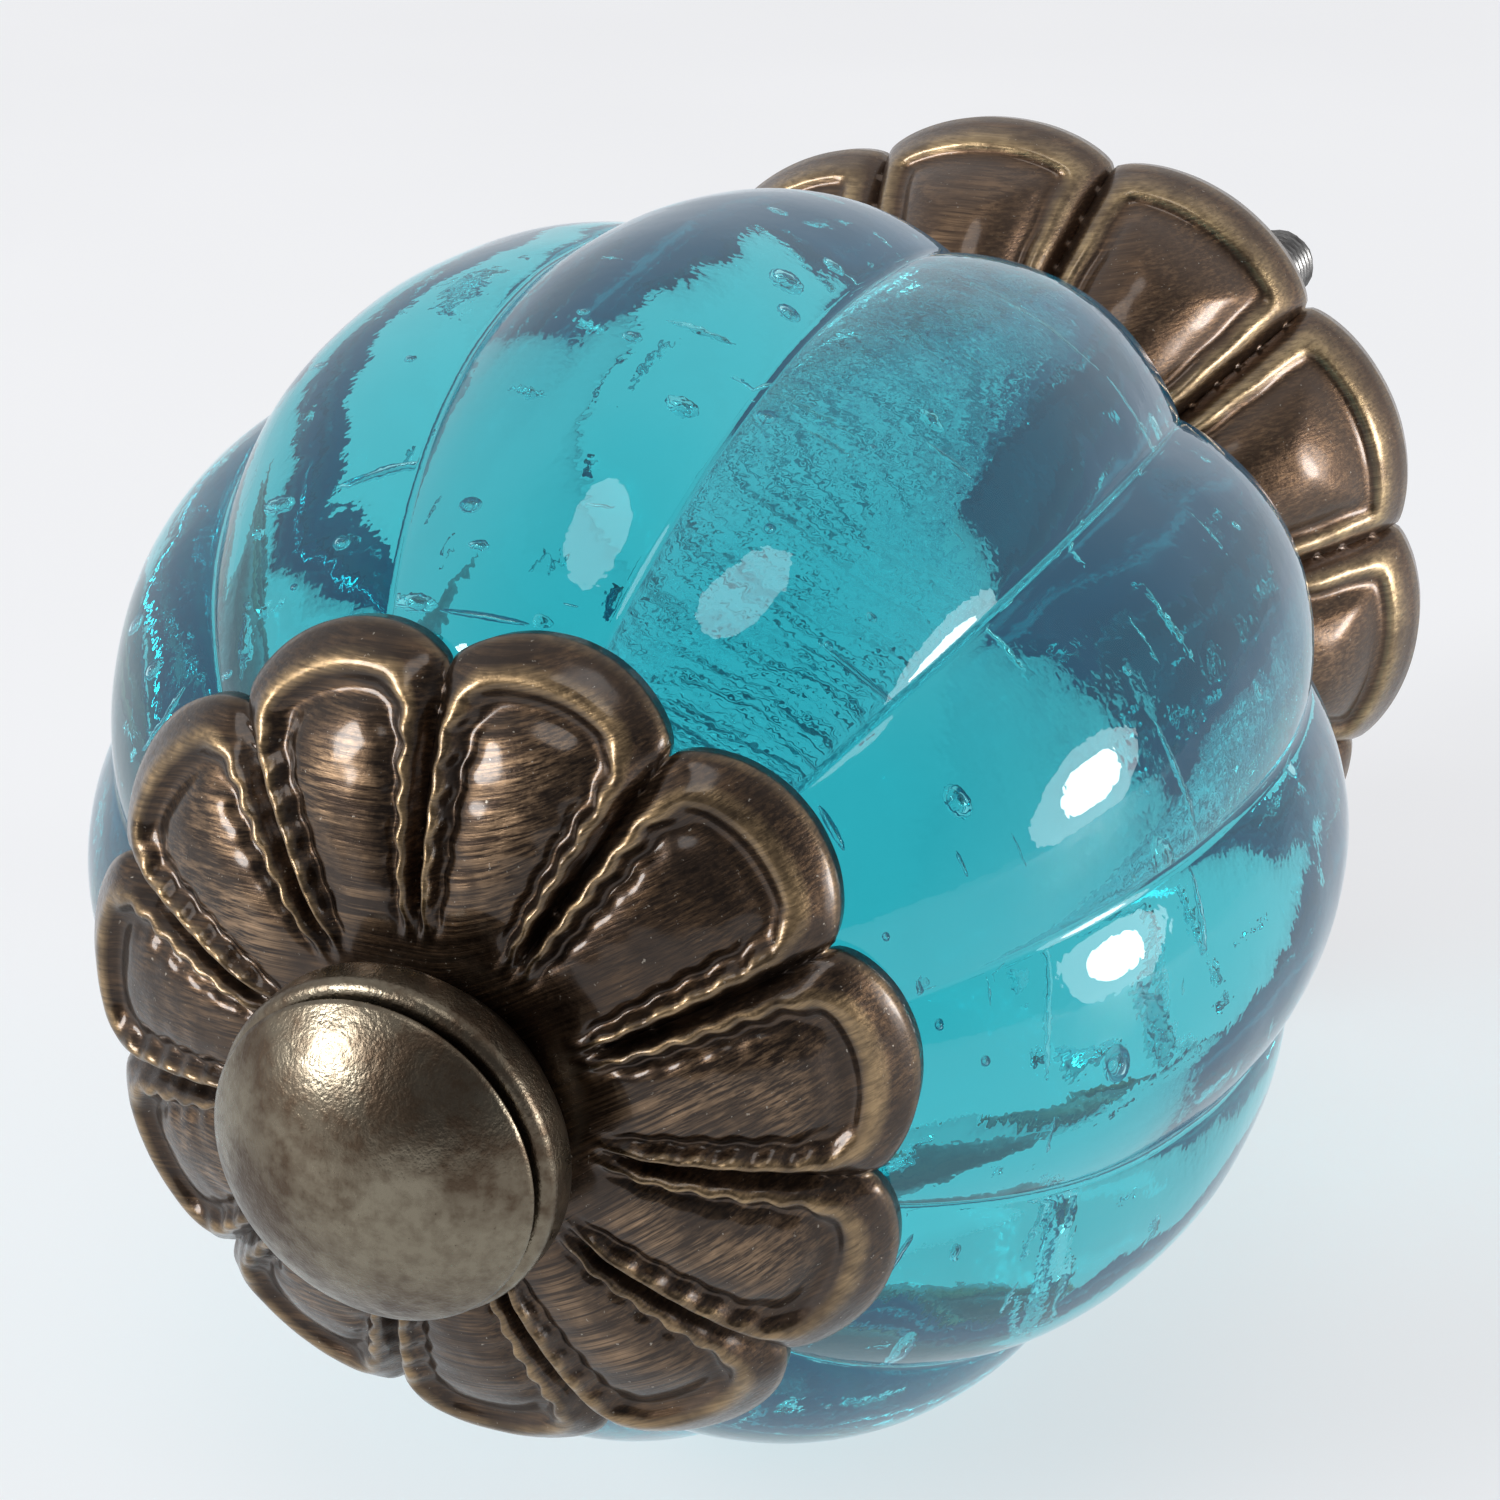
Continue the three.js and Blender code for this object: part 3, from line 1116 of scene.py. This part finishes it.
@dataclass
class FlowerCap:
    """A stamped sheet flower: petals with raised borders and a valley between them."""

    shop: Workshop
    finish: bpy.types.Material
    name: str
    node: str
    petals: int
    phase: float
    bore_radius: float
    notch_radius: float
    tip_radius: float
    tip_power: float
    hub: float
    rim: float
    fall: float
    sheet: float
    follows_glass: bool
    border_height: float
    border_peak: float
    border_width: float
    tip_border: float
    valley: float
    valley_width: float
    ditch_depth: float
    ditch_place: float
    ditch_width: float
    swell: float
    rope: float
    rope_pitch: float
    wear: float
    panel_wear: float
    hub_clear: float
    brush_lean: float
    corner: float = 0.35
    wear_seed: int = 3
    steps: int = 56
    rows: int = 84
    back_rows: int = 14
    rim_width: float = 1.2
    dents: tuple[tuple[float, float, float], ...] = ((3.2, 5.5, 0.07), (0.8, 2.5, 0.022))

    def rim_at(self, place: np.ndarray) -> np.ndarray:
        """Read the radius of the petal's edge.

        Args:
            place: 0 to 1 across the petal.

        Returns:
            The radius at each place.
        """
        crest = np.abs(np.sin(math.pi * place)) ** self.tip_power
        return self.notch_radius + (self.tip_radius - self.notch_radius) * crest

    def height(self, radius: np.ndarray, edge: np.ndarray) -> np.ndarray:
        """Height of the plain sheet.

        Args:
            radius: radius of each point.
            edge: radius of the petal's edge in that direction.

        Returns:
            Place along the axis.
        """
        full = self.notch_radius if self.follows_glass else edge
        reach = (radius - self.bore_radius) / (full - self.bore_radius)
        return self.hub - (self.hub - self.rim) * reach**self.fall

    def relief(
        self, place: np.ndarray, radius: np.ndarray, edge: np.ndarray
    ) -> tuple[np.ndarray, np.ndarray, np.ndarray]:
        """Shape the stamping over the plain sheet.

        Args:
            place: 0 to 1 across each petal.
            radius: radius of each point.
            edge: radius of the petal's edge in that direction.

        Returns:
            Height over the sheet, how raised the border is and how far inside the panel
            the point lies, both from 0 to 1.
        """
        half = math.pi * radius / self.petals
        side = (0.5 - np.abs(place - 0.5)) * 2.0 * half
        tip = (edge - radius) * self.tip_border
        near = np.clip(0.5 + (tip - side) / (2.0 * self.corner), 0.0, 1.0)
        inside = tip * (1.0 - near) + side * near - self.corner * near * (1.0 - near)
        scale = np.clip(half * self.petals / (math.pi * self.notch_radius), 0.35, 1.0)
        wave = np.sin(FULL_TURN * radius / self.rope_pitch + 1.7 * np.sign(place - 0.5))
        wave = wave * near * self.rope * scale
        past = inside - self.border_peak * scale - 0.5 * wave
        crest = np.exp(-((past / (self.border_width * scale)) ** 2)) * (1.0 + wave)
        valley = np.exp(-((side / (self.valley_width * scale)) ** 2))
        ditch = np.exp(-(((past / scale - self.ditch_place) / self.ditch_width) ** 2))
        across = np.clip((past - self.ditch_place * scale * 0.6) / (half * 0.62), 0.0, 1.0)
        fill = self.swell * np.sin(across * math.pi / 2.0) * scale
        ramp = np.clip((radius - self.hub_clear) / 2.0, 0.0, 1.0)
        ramp = ramp * ramp * (3.0 - 2.0 * ramp)
        lift = self.border_height * crest - self.ditch_depth * ditch - self.valley * valley
        lift = (lift + fill) * ramp
        worn = np.clip(crest, 0.0, 1.0) ** self.wear * (1.0 - valley)
        worn = np.maximum(worn, 0.6 * np.exp(-(((edge - radius) / 0.2) ** 2)))
        return lift, worn * (0.3 + 0.7 * ramp), across * ramp

    def sector(self) -> bpy.types.Object:
        """Build one petal, front skin and back skin.

        Returns:
            The petal's shell.
        """
        grid = np.linspace(0.0, 1.0, self.steps + 1)[:, None]
        edge = self.rim_at(grid)
        shares = np.linspace(0.0, 1.0, self.rows + 1)[None, :] ** 0.9
        radius = self.bore_radius + (edge - self.bore_radius) * shares
        lift = self.relief(grid, radius, edge)[0]
        roll = np.clip(1.0 - (edge - radius) / 0.35, 0.0, 1.0) ** 2 * 0.22
        face = self.height(radius, edge) + lift - roll
        back_shares = np.linspace(0.0, 1.0, self.back_rows + 1)[None, :] ** 0.8
        back_radius = self.bore_radius + (edge - self.bore_radius) * back_shares
        back = self.height(back_radius, edge) - self.sheet
        back_radius = np.minimum(back_radius, edge - 0.12)
        if not self.follows_glass:
            foot = edge - self.rim_width
            back_radius = np.concatenate([back_radius[:, :-1], foot, edge - 0.1], 1)
            back = np.concatenate([back[:, :-1], back[:, -1:], back[:, -1:]], 1)
        radii = np.concatenate([back_radius, radius[:, ::-1]], 1)
        heights = np.concatenate([back, face[:, ::-1]], 1)
        angles = (grid * FULL_TURN / self.petals) + self.phase
        points = np.stack([radii * np.cos(angles), radii * np.sin(angles), heights], -1)
        return skin(self.name, points, loop_around=False)

    def build(self) -> bpy.types.Object:
        """Repeat the petal, bend it a little and mark relief and brushing.

        Returns:
            The whole flower.
        """
        made = self.shop.ring.cook(
            self.sector(), {"Count": self.petals, "Finish": self.finish}
        )
        points = places(made)
        radius = np.hypot(points[:, 0], points[:, 1])
        angle = np.arctan2(points[:, 1], points[:, 0])
        turns = (angle - self.phase) / FULL_TURN * self.petals
        place = turns - np.floor(turns)
        edge = self.rim_at(place)
        _, raised, panel = self.relief(place, radius, edge)
        write_floats(made, "relief", raised)
        petal = np.floor(turns).astype(int) % self.petals
        rubbing = np.random.default_rng(self.wear_seed).uniform(0.0, 1.0, self.petals)
        write_floats(made, "rubbed", panel * rubbing[petal] * self.panel_wear)
        lean = self.brush_lean * np.maximum(0.0, np.cos(angle))
        along = points[:, 0] * np.cos(lean) + points[:, 1] * np.sin(lean)
        across = points[:, 1] * np.cos(lean) - points[:, 0] * np.sin(lean)
        brush = np.stack([along * 0.025, across, points[:, 2] * 0.4], -1) * MM
        write_vectors(made, "brush", brush)
        free = np.clip((radius - self.hub_clear) / 3.0, 0.0, 1.0)
        for size, seed, depth in self.dents:
            points[:, 2] += uneven(points, size, seed) * depth * free
        put_back(made, points)
        return finished(made, self.finish, Body.KNOB, Slot.BRASS, self.node)


@dataclass
class DomedFinial:
    """The dome that closes the front, with the collar under it."""

    shop: Workshop
    radius: float = 6.6
    centre: float = 49.1
    hole_radius: float = 2.15
    hole_top: float = 54.5
    lip: float = 0.16
    flange_radius: float = 5.0
    flange_edge: float = 0.4
    neck_radius: float = 4.1
    step: float = 51.7
    rows: int = 40
    around: int = 128
    dent: float = 0.05
    dent_size: float = 3.0

    def dome(self) -> bpy.types.Object:
        """Turn the dome, with a rounded lip at its back edge.

        Returns:
            The dome.
        """
        back = span_of("domed_finial")[0]
        tilt = math.asin((back + self.lip - self.centre) / self.radius)
        rim = self.radius * math.cos(tilt)
        outline = [
            (0.0, self.hole_top),
            (self.hole_radius, self.hole_top),
            (self.hole_radius, back),
            (rim - 6.0 * self.lip, back),
        ]
        for turn in np.linspace(0.0, math.pi / 2.0, 6):
            across = rim - self.lip + self.lip * math.sin(turn)
            outline.append((across, back + self.lip * (1.0 - math.cos(turn))))
        for lift in np.linspace(tilt, math.pi / 2.0, self.rows + 1)[1:]:
            across = max(0.0, self.radius * math.cos(lift))
            outline.append((across, self.centre + self.radius * math.sin(lift)))
        made = weld_poles(lathe("domed_cap", outline, self.around))
        points = places(made)
        front = np.clip((points[:, 2] - back - self.lip) / (2.0 * self.lip), 0.0, 1.0)
        points[:, 2] += uneven(points, self.dent_size, 4.2) * self.dent * front
        put_back(made, points)
        return finished(made, self.shop.nickel, Body.KNOB, Slot.NICKEL, "domed_finial")

    def collar(self) -> bpy.types.Object:
        """Turn the collar: a rounded flange on a narrower neck.

        Returns:
            The collar.
        """
        rear, front = span_of("finial_collar")
        flange = rounded_ring(
            self.hole_radius, self.flange_radius, self.step, front, self.flange_edge
        )
        outline = [
            (self.hole_radius, rear),
            (self.neck_radius, rear),
            (self.neck_radius, self.step),
            *flange[2:],
        ]
        made = lathe("dome_collar", outline, self.around)
        return finished(made, self.shop.nickel, Body.KNOB, Slot.NICKEL, "finial_collar")


def weld_poles(made: bpy.types.Object) -> bpy.types.Object:
    """Join the points that fall together on the axis.

    Args:
        made: the piece.

    Returns:
        The same piece with closed poles.
    """
    work = bmesh.new()
    work.from_mesh(made.data)
    bmesh.ops.remove_doubles(work, verts=work.verts, dist=POLE_WELD)
    work.to_mesh(made.data)
    work.free()
    made.data.update()
    return made


@dataclass
class Hardware:
    """The stud, the nuts, the washers and the gaskets."""

    shop: Workshop
    stud_radius: float = 2.0
    pitch: float = 0.7
    thread_depth: float = 0.36
    thread_crest: float = 0.9
    thread_steps: int = 25
    rows_a_turn: int = 8
    stud_chamfer: float = 0.5
    nut_flats: float = 7.0
    nut_bore: float = 2.08
    nut_sink: float = 0.3
    nut_steps: int = 96
    washer_face: float = 0.97
    corner_break: float = 0.03
    corner_drop: float = 0.05
    clear_hole: float = 2.15
    washer_edge: float = 0.12
    seal_bore: float = 2.6
    seal_edge: float = 0.3

    def stud(self) -> bpy.types.Object:
        """Roll the thread round the stud.

        Returns:
            The stud.
        """
        sizes = ("Radius", "Depth", "Pitch", "Rear", "Length", "Chamfer")
        recipe = NodeRecipe(
            "rolled_thread",
            {
                **dict.fromkeys(sizes, "NodeSocketFloat"),
                **dict.fromkeys(("Steps", "Rows"), "NodeSocketInt"),
                "Finish": "NodeSocketMaterial",
            },
        )
        add, given = recipe.add, recipe.given
        sheet = add(
            "GeometryNodeMeshGrid",
            {
                "Size X": 1.0,
                "Size Y": 1.0,
                "Vertices X": given["Steps"],
                "Vertices Y": given["Rows"],
            },
        )
        parts = add("ShaderNodeSeparateXYZ", (add("GeometryNodeInputPosition"),)).outputs
        known = {name: given[name] for name in sizes}
        known |= {"x": parts[0], "y": parts[1]}
        for name, operation, *values in (
            ("turn", "ADD", "x", 0.5),
            ("share", "ADD", "y", 0.5),
            ("run", "MULTIPLY", "share", "Length"),
            ("along", "ADD", "Rear", "run"),
            ("turns", "DIVIDE", "along", "Pitch"),
            ("wound", "ADD", "turns", "turn"),
            ("phase", "FRACT", "wound"),
            ("centred", "SUBTRACT", "phase", 0.5),
            ("slope", "ABSOLUTE", "centred"),
            ("ridge", "MULTIPLY", "slope", 2.0),
            ("rounded", "SMOOTH_MIN", "ridge", self.thread_crest),
            ("cut", "MULTIPLY", "Depth", "rounded"),
            ("rest", "SUBTRACT", 1.0, "share"),
            ("edge", "MINIMUM", "share", "rest"),
            ("from_end", "MULTIPLY", "edge", "Length"),
            ("short", "SUBTRACT", "Chamfer", "from_end"),
            ("sunk", "MAXIMUM", "short", 0.0),
            ("threaded", "SUBTRACT", "Radius", "cut"),
            ("full", "SUBTRACT", "threaded", "sunk"),
            ("solid", "GREATER_THAN", "from_end", POLE_WELD),
            ("radius", "MULTIPLY", "full", "solid"),
            ("angle", "MULTIPLY", "turn", FULL_TURN),
            ("cosine", "COSINE", "angle"),
            ("sine", "SINE", "angle"),
            ("across", "MULTIPLY", "radius", "cosine"),
            ("up", "MULTIPLY", "radius", "sine"),
        ):
            fed = tuple(known.get(value, value) for value in values)
            known[name] = add(MATH, fed, operation=operation)
        spot = add(VECTOR, (known["across"], known["along"], known["up"]))
        rolled = add("GeometryNodeSetPosition", {"Geometry": sheet, "Position": spot})
        recipe.close(add("GeometryNodeFlipFaces", (rolled,)))
        rear, front = span_of("threaded_stud")
        seedling = skin("rolled_stud", np.zeros((2, 2, 3)), False, False)
        made = recipe.cook(
            seedling,
            {
                "Radius": self.stud_radius * MM,
                "Depth": self.thread_depth * MM,
                "Pitch": self.pitch * MM,
                "Rear": -front * MM,
                "Length": (front - rear) * MM,
                "Chamfer": self.stud_chamfer * MM,
                "Steps": self.thread_steps,
                "Rows": int((front - rear) / self.pitch * self.rows_a_turn),
                "Finish": self.shop.steel,
            },
        )
        return finished(made, self.shop.steel, Body.KNOB, Slot.STEEL, "threaded_stud")

    def nut(self, name: str, node: str, body: Body) -> bpy.types.Object:
        """Shape a hexagon nut with chamfered corners and a countersunk bore.

        Args:
            name: the piece's name.
            node: the solid it stands for.
            body: what it rides on.

        Returns:
            The nut.
        """
        rear, front = span_of(node)
        angles = np.arange(self.nut_steps) * FULL_TURN / self.nut_steps
        sextant = np.mod(angles, FULL_TURN / HEX_CORNERS) - FULL_TURN / HEX_CORNERS / 2.0
        flat = self.nut_flats / 2.0 / np.cos(sextant)
        washer_face = self.nut_flats / 2.0 * self.washer_face
        sink, away, low = self.nut_sink, self.corner_break, self.corner_drop
        columns = []
        for angle, hexagon in zip(angles, flat):
            drop = (hexagon - washer_face) * math.tan(HEX_CHAMFER)
            section = [
                (self.nut_bore, rear + sink),
                (self.nut_bore + sink, rear),
                (washer_face, rear),
                (hexagon - away, rear + drop),
                (hexagon, rear + drop + low),
                (hexagon, front - drop - low),
                (hexagon - away, front - drop),
                (washer_face, front),
                (self.nut_bore + sink, front),
                (self.nut_bore, front - sink),
            ]
            columns.append([(r * math.cos(angle), r * math.sin(angle), z) for r, z in section])
        made = skin(name, np.array(columns))
        made.data.polygons.foreach_set("use_smooth", [False] * len(made.data.polygons))
        return finished(made, self.shop.steel, body, Slot.STEEL, node)

    def ring(
        self,
        name: str,
        node: str,
        inner: float,
        edge: float,
        finish: bpy.types.Material,
        slot: Slot,
        body: Body,
    ) -> bpy.types.Object:
        """Turn a washer or a gasket.

        Args:
            name: the piece's name.
            node: the solid it stands for.
            inner: bore radius.
            edge: radius of its outer edges.
            finish: its material.
            slot: the record's slot.
            body: what it rides on.

        Returns:
            The ring.
        """
        rear, front = span_of(node)
        made = lathe(name, rounded_ring(inner, reach_of(node), rear, front, edge))
        return finished(made, finish, body, slot, node)

    def build(self) -> None:
        """Build all of the hardware."""
        self.stud()
        self.nut("inner_nut", "retaining_nut", Body.KNOB)
        self.nut("outer_nut", "mounting_nut", Body.NUT)
        hard = (self.clear_hole, self.washer_edge, self.shop.steel, Slot.STEEL)
        soft = (self.seal_bore, self.seal_edge, self.shop.gasket, Slot.GASKET)
        for name, node, make, body in (
            ("inner_washer", "retaining_washer", hard, Body.KNOB),
            ("outer_washer", "mounting_washer", hard, Body.WASHER),
            ("front_seal", "front_gasket", soft, Body.KNOB),
            ("rear_seal", "rear_gasket", soft, Body.KNOB),
        ):
            self.ring(name, node, *make, body)


@dataclass(frozen=True)
class Softbox:
    """A round lamp that faces the knob."""

    name: str
    azimuth: float
    elevation: float
    distance: float
    width: float
    radiance: float
    tint: str = "#ffffff"

    def hang(self, target: Vector) -> None:
        """Hang the lamp.

        Args:
            target: what it faces, in metres.
        """
        turn, lift = math.radians(self.azimuth), math.radians(self.elevation)
        away = Vector(
            (math.sin(turn) * math.cos(lift), -math.cos(turn) * math.cos(lift), math.sin(lift))
        )
        data = bpy.data.lights.new(self.name, "AREA")
        data.shape = "DISK"
        data.size = self.width
        data.energy = self.radiance * (math.pi * self.width / 2.0) ** 2
        data.color = linear(self.tint)[:3]
        lamp = bpy.data.objects.new(self.name, data)
        lamp.location = target + away * self.distance
        lamp.rotation_mode = "QUATERNION"
        lamp.rotation_quaternion = (-away).to_track_quat("-Z", "Y")
        bpy.context.scene.collection.objects.link(lamp)


@dataclass
class Studio:
    """The floor, the lamps, the surroundings and the camera."""

    shop: Workshop
    floor_drop: float = 0.1 * MM
    floor_size: float = 6.0
    lens: float = 73.7
    sensor: float = 36.0
    station: tuple[float, float, float] = (35.42, -114.52, 41.40)
    aim: tuple[float, float, float] = (4.235, -37.80, 6.147)
    pale: str = "#f3f3f5"
    dark: str = "#6f7074"
    dimmed: Span = (0.2, 0.85)
    room_light: float = 0.85
    lamps: tuple[Softbox, ...] = (
        Softbox("lamp_above", 18.0, 69.0, 0.5, 0.2, 3.0),
        Softbox("lamp_right", 96.0, 9.0, 0.5, 0.24, 4.0),
        Softbox("lamp_right_core", 96.0, 9.0, 0.49, 0.13, 18.0),
        Softbox("lamp_left", -40.0, 27.0, 0.5, 0.2, 18.0),
    )

    def floor(self, low: float) -> None:
        """Lay the floor just under the knob.

        Args:
            low: the knob's lowest point, in metres.
        """
        half = self.floor_size / 2.0
        level = low - self.floor_drop
        corners = ((-half, -half), (half, -half), (half, half), (-half, half))
        mesh = bpy.data.meshes.new("studio_floor")
        mesh.from_pydata([(x, y, level) for x, y in corners], [], [(0, 1, 2, 3)])
        mesh.materials.append(self.shop.board)
        made = bpy.data.objects.new("studio_floor", mesh)
        bpy.context.scene.collection.objects.link(made)
        made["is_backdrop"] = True

    def surroundings(self) -> None:
        """Light the room: pale all round, darker on the camera's side."""
        world = bpy.data.worlds.new("studio_room")
        bpy.context.scene.world = world
        world.use_nodes = True
        tree = world.node_tree
        tree.nodes.clear()
        add = partial(add_node, tree)
        way = add(COORDINATES).outputs["Generated"]
        station = (Vector(self.station) - Vector(self.aim)).normalized()
        toward = add("ShaderNodeVectorMath", (way, station), operation="DOT_PRODUCT")
        dim = add(SPAN, (toward, *self.dimmed))
        tones = {6: linear(self.pale), 7: linear(self.dark)}
        colour = add(MIX, {0: dim, **tones}, data_type="RGBA")
        glow = add("ShaderNodeBackground", {"Color": colour, "Strength": self.room_light})
        add("ShaderNodeOutputWorld", {"Surface": glow})

    def camera(self) -> None:
        """Stand the camera above and to the right of the knob's front."""
        data = bpy.data.cameras.new("studio_camera")
        data.lens = self.lens
        data.sensor_width = self.sensor
        data.clip_start = 0.005
        data.clip_end = 20.0
        made = bpy.data.objects.new("studio_camera", data)
        made.location = Vector(self.station) * MM
        ahead = (Vector(self.aim) - Vector(self.station)).normalized()
        made.rotation_mode = "QUATERNION"
        made.rotation_quaternion = ahead.to_track_quat("-Z", "Y")
        bpy.context.scene.collection.objects.link(made)
        bpy.context.scene.camera = made

    def build(self, low: Vector, target: Vector) -> None:
        """Build the studio.

        Args:
            low: the knob's lowest corner, in metres.
            target: what the lamps face.
        """
        self.floor(low.z)
        self.surroundings()
        for lamp in self.lamps:
            lamp.hang(target)
        self.camera()
        bpy.context.scene.view_settings.view_transform = "Standard"


def front_flower(shop: Workshop) -> FlowerCap:
    """Describe the front cap, whose sheet hugs the glass.

    Args:
        shop: the finishes.

    Returns:
        The cap, ready to build.
    """
    return FlowerCap(
        shop=shop,
        finish=shop.brass,
        name="front_flower",
        node="front_cap",
        petals=11,
        phase=0.47,
        bore_radius=2.6,
        notch_radius=11.55,
        tip_radius=12.9,
        tip_power=0.55,
        hub=50.4,
        rim=47.9,
        fall=2.2,
        sheet=0.8,
        follows_glass=True,
        border_height=0.42,
        border_peak=0.62,
        border_width=0.36,
        tip_border=0.72,
        valley=0.3,
        valley_width=0.24,
        ditch_depth=0.2,
        ditch_place=0.62,
        ditch_width=0.3,
        swell=0.42,
        rope=0.13,
        rope_pitch=0.9,
        wear=2.0,
        panel_wear=0.9,
        hub_clear=4.6,
        brush_lean=0.6,
        corner=1.0,
        wear_seed=30777,
    )


def rear_flower(shop: Workshop) -> FlowerCap:
    """Describe the base, a deeper cup with pillow petals, dressed in a lighter brass copy that
    paints in the light falling on it.

    Args:
        shop: the finishes.

    Returns:
        The base, ready to build.
    """
    return FlowerCap(
        shop=shop,
        # painted light: the lighter brass copy stands for the light falling on the base
        finish=shop.painted_lit_brass,
        name="rear_flower",
        node="rear_base",
        petals=11,
        phase=0.172,
        bore_radius=2.6,
        notch_radius=16.2,
        tip_radius=17.4,
        tip_power=0.55,
        hub=10.0,
        rim=0.9,
        fall=2.6,
        sheet=0.9,
        follows_glass=False,
        border_height=0.5,
        border_peak=0.85,
        border_width=0.5,
        tip_border=1.4,
        valley=0.2,
        valley_width=0.3,
        ditch_depth=0.25,
        ditch_place=0.8,
        ditch_width=0.35,
        swell=1.3,
        rope=0.05,
        rope_pitch=1.6,
        wear=1.0,
        # partly wear, partly painted light: set to lighten the brightly lit pillows
        panel_wear=0.35,
        hub_clear=7.5,
        brush_lean=0.3,
    )


def main() -> None:
    """Build the knob piece by piece, then the studio around it."""
    logging.basicConfig(level=logging.INFO, format="%(name)s %(message)s")
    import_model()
    cad_low, cad_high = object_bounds()
    shop = Workshop()
    glass = FlutedGlass(shop)
    glass.body()
    glass.air()
    front_flower(shop).build()
    rear_flower(shop).build()
    finial = DomedFinial(shop)
    finial.dome()
    finial.collar()
    Hardware(shop).build()
    Studio(shop).build(cad_low, Vector((0.0, -glass.centre() * MM, 0.0)))


if __name__ == "__main__":
    main()
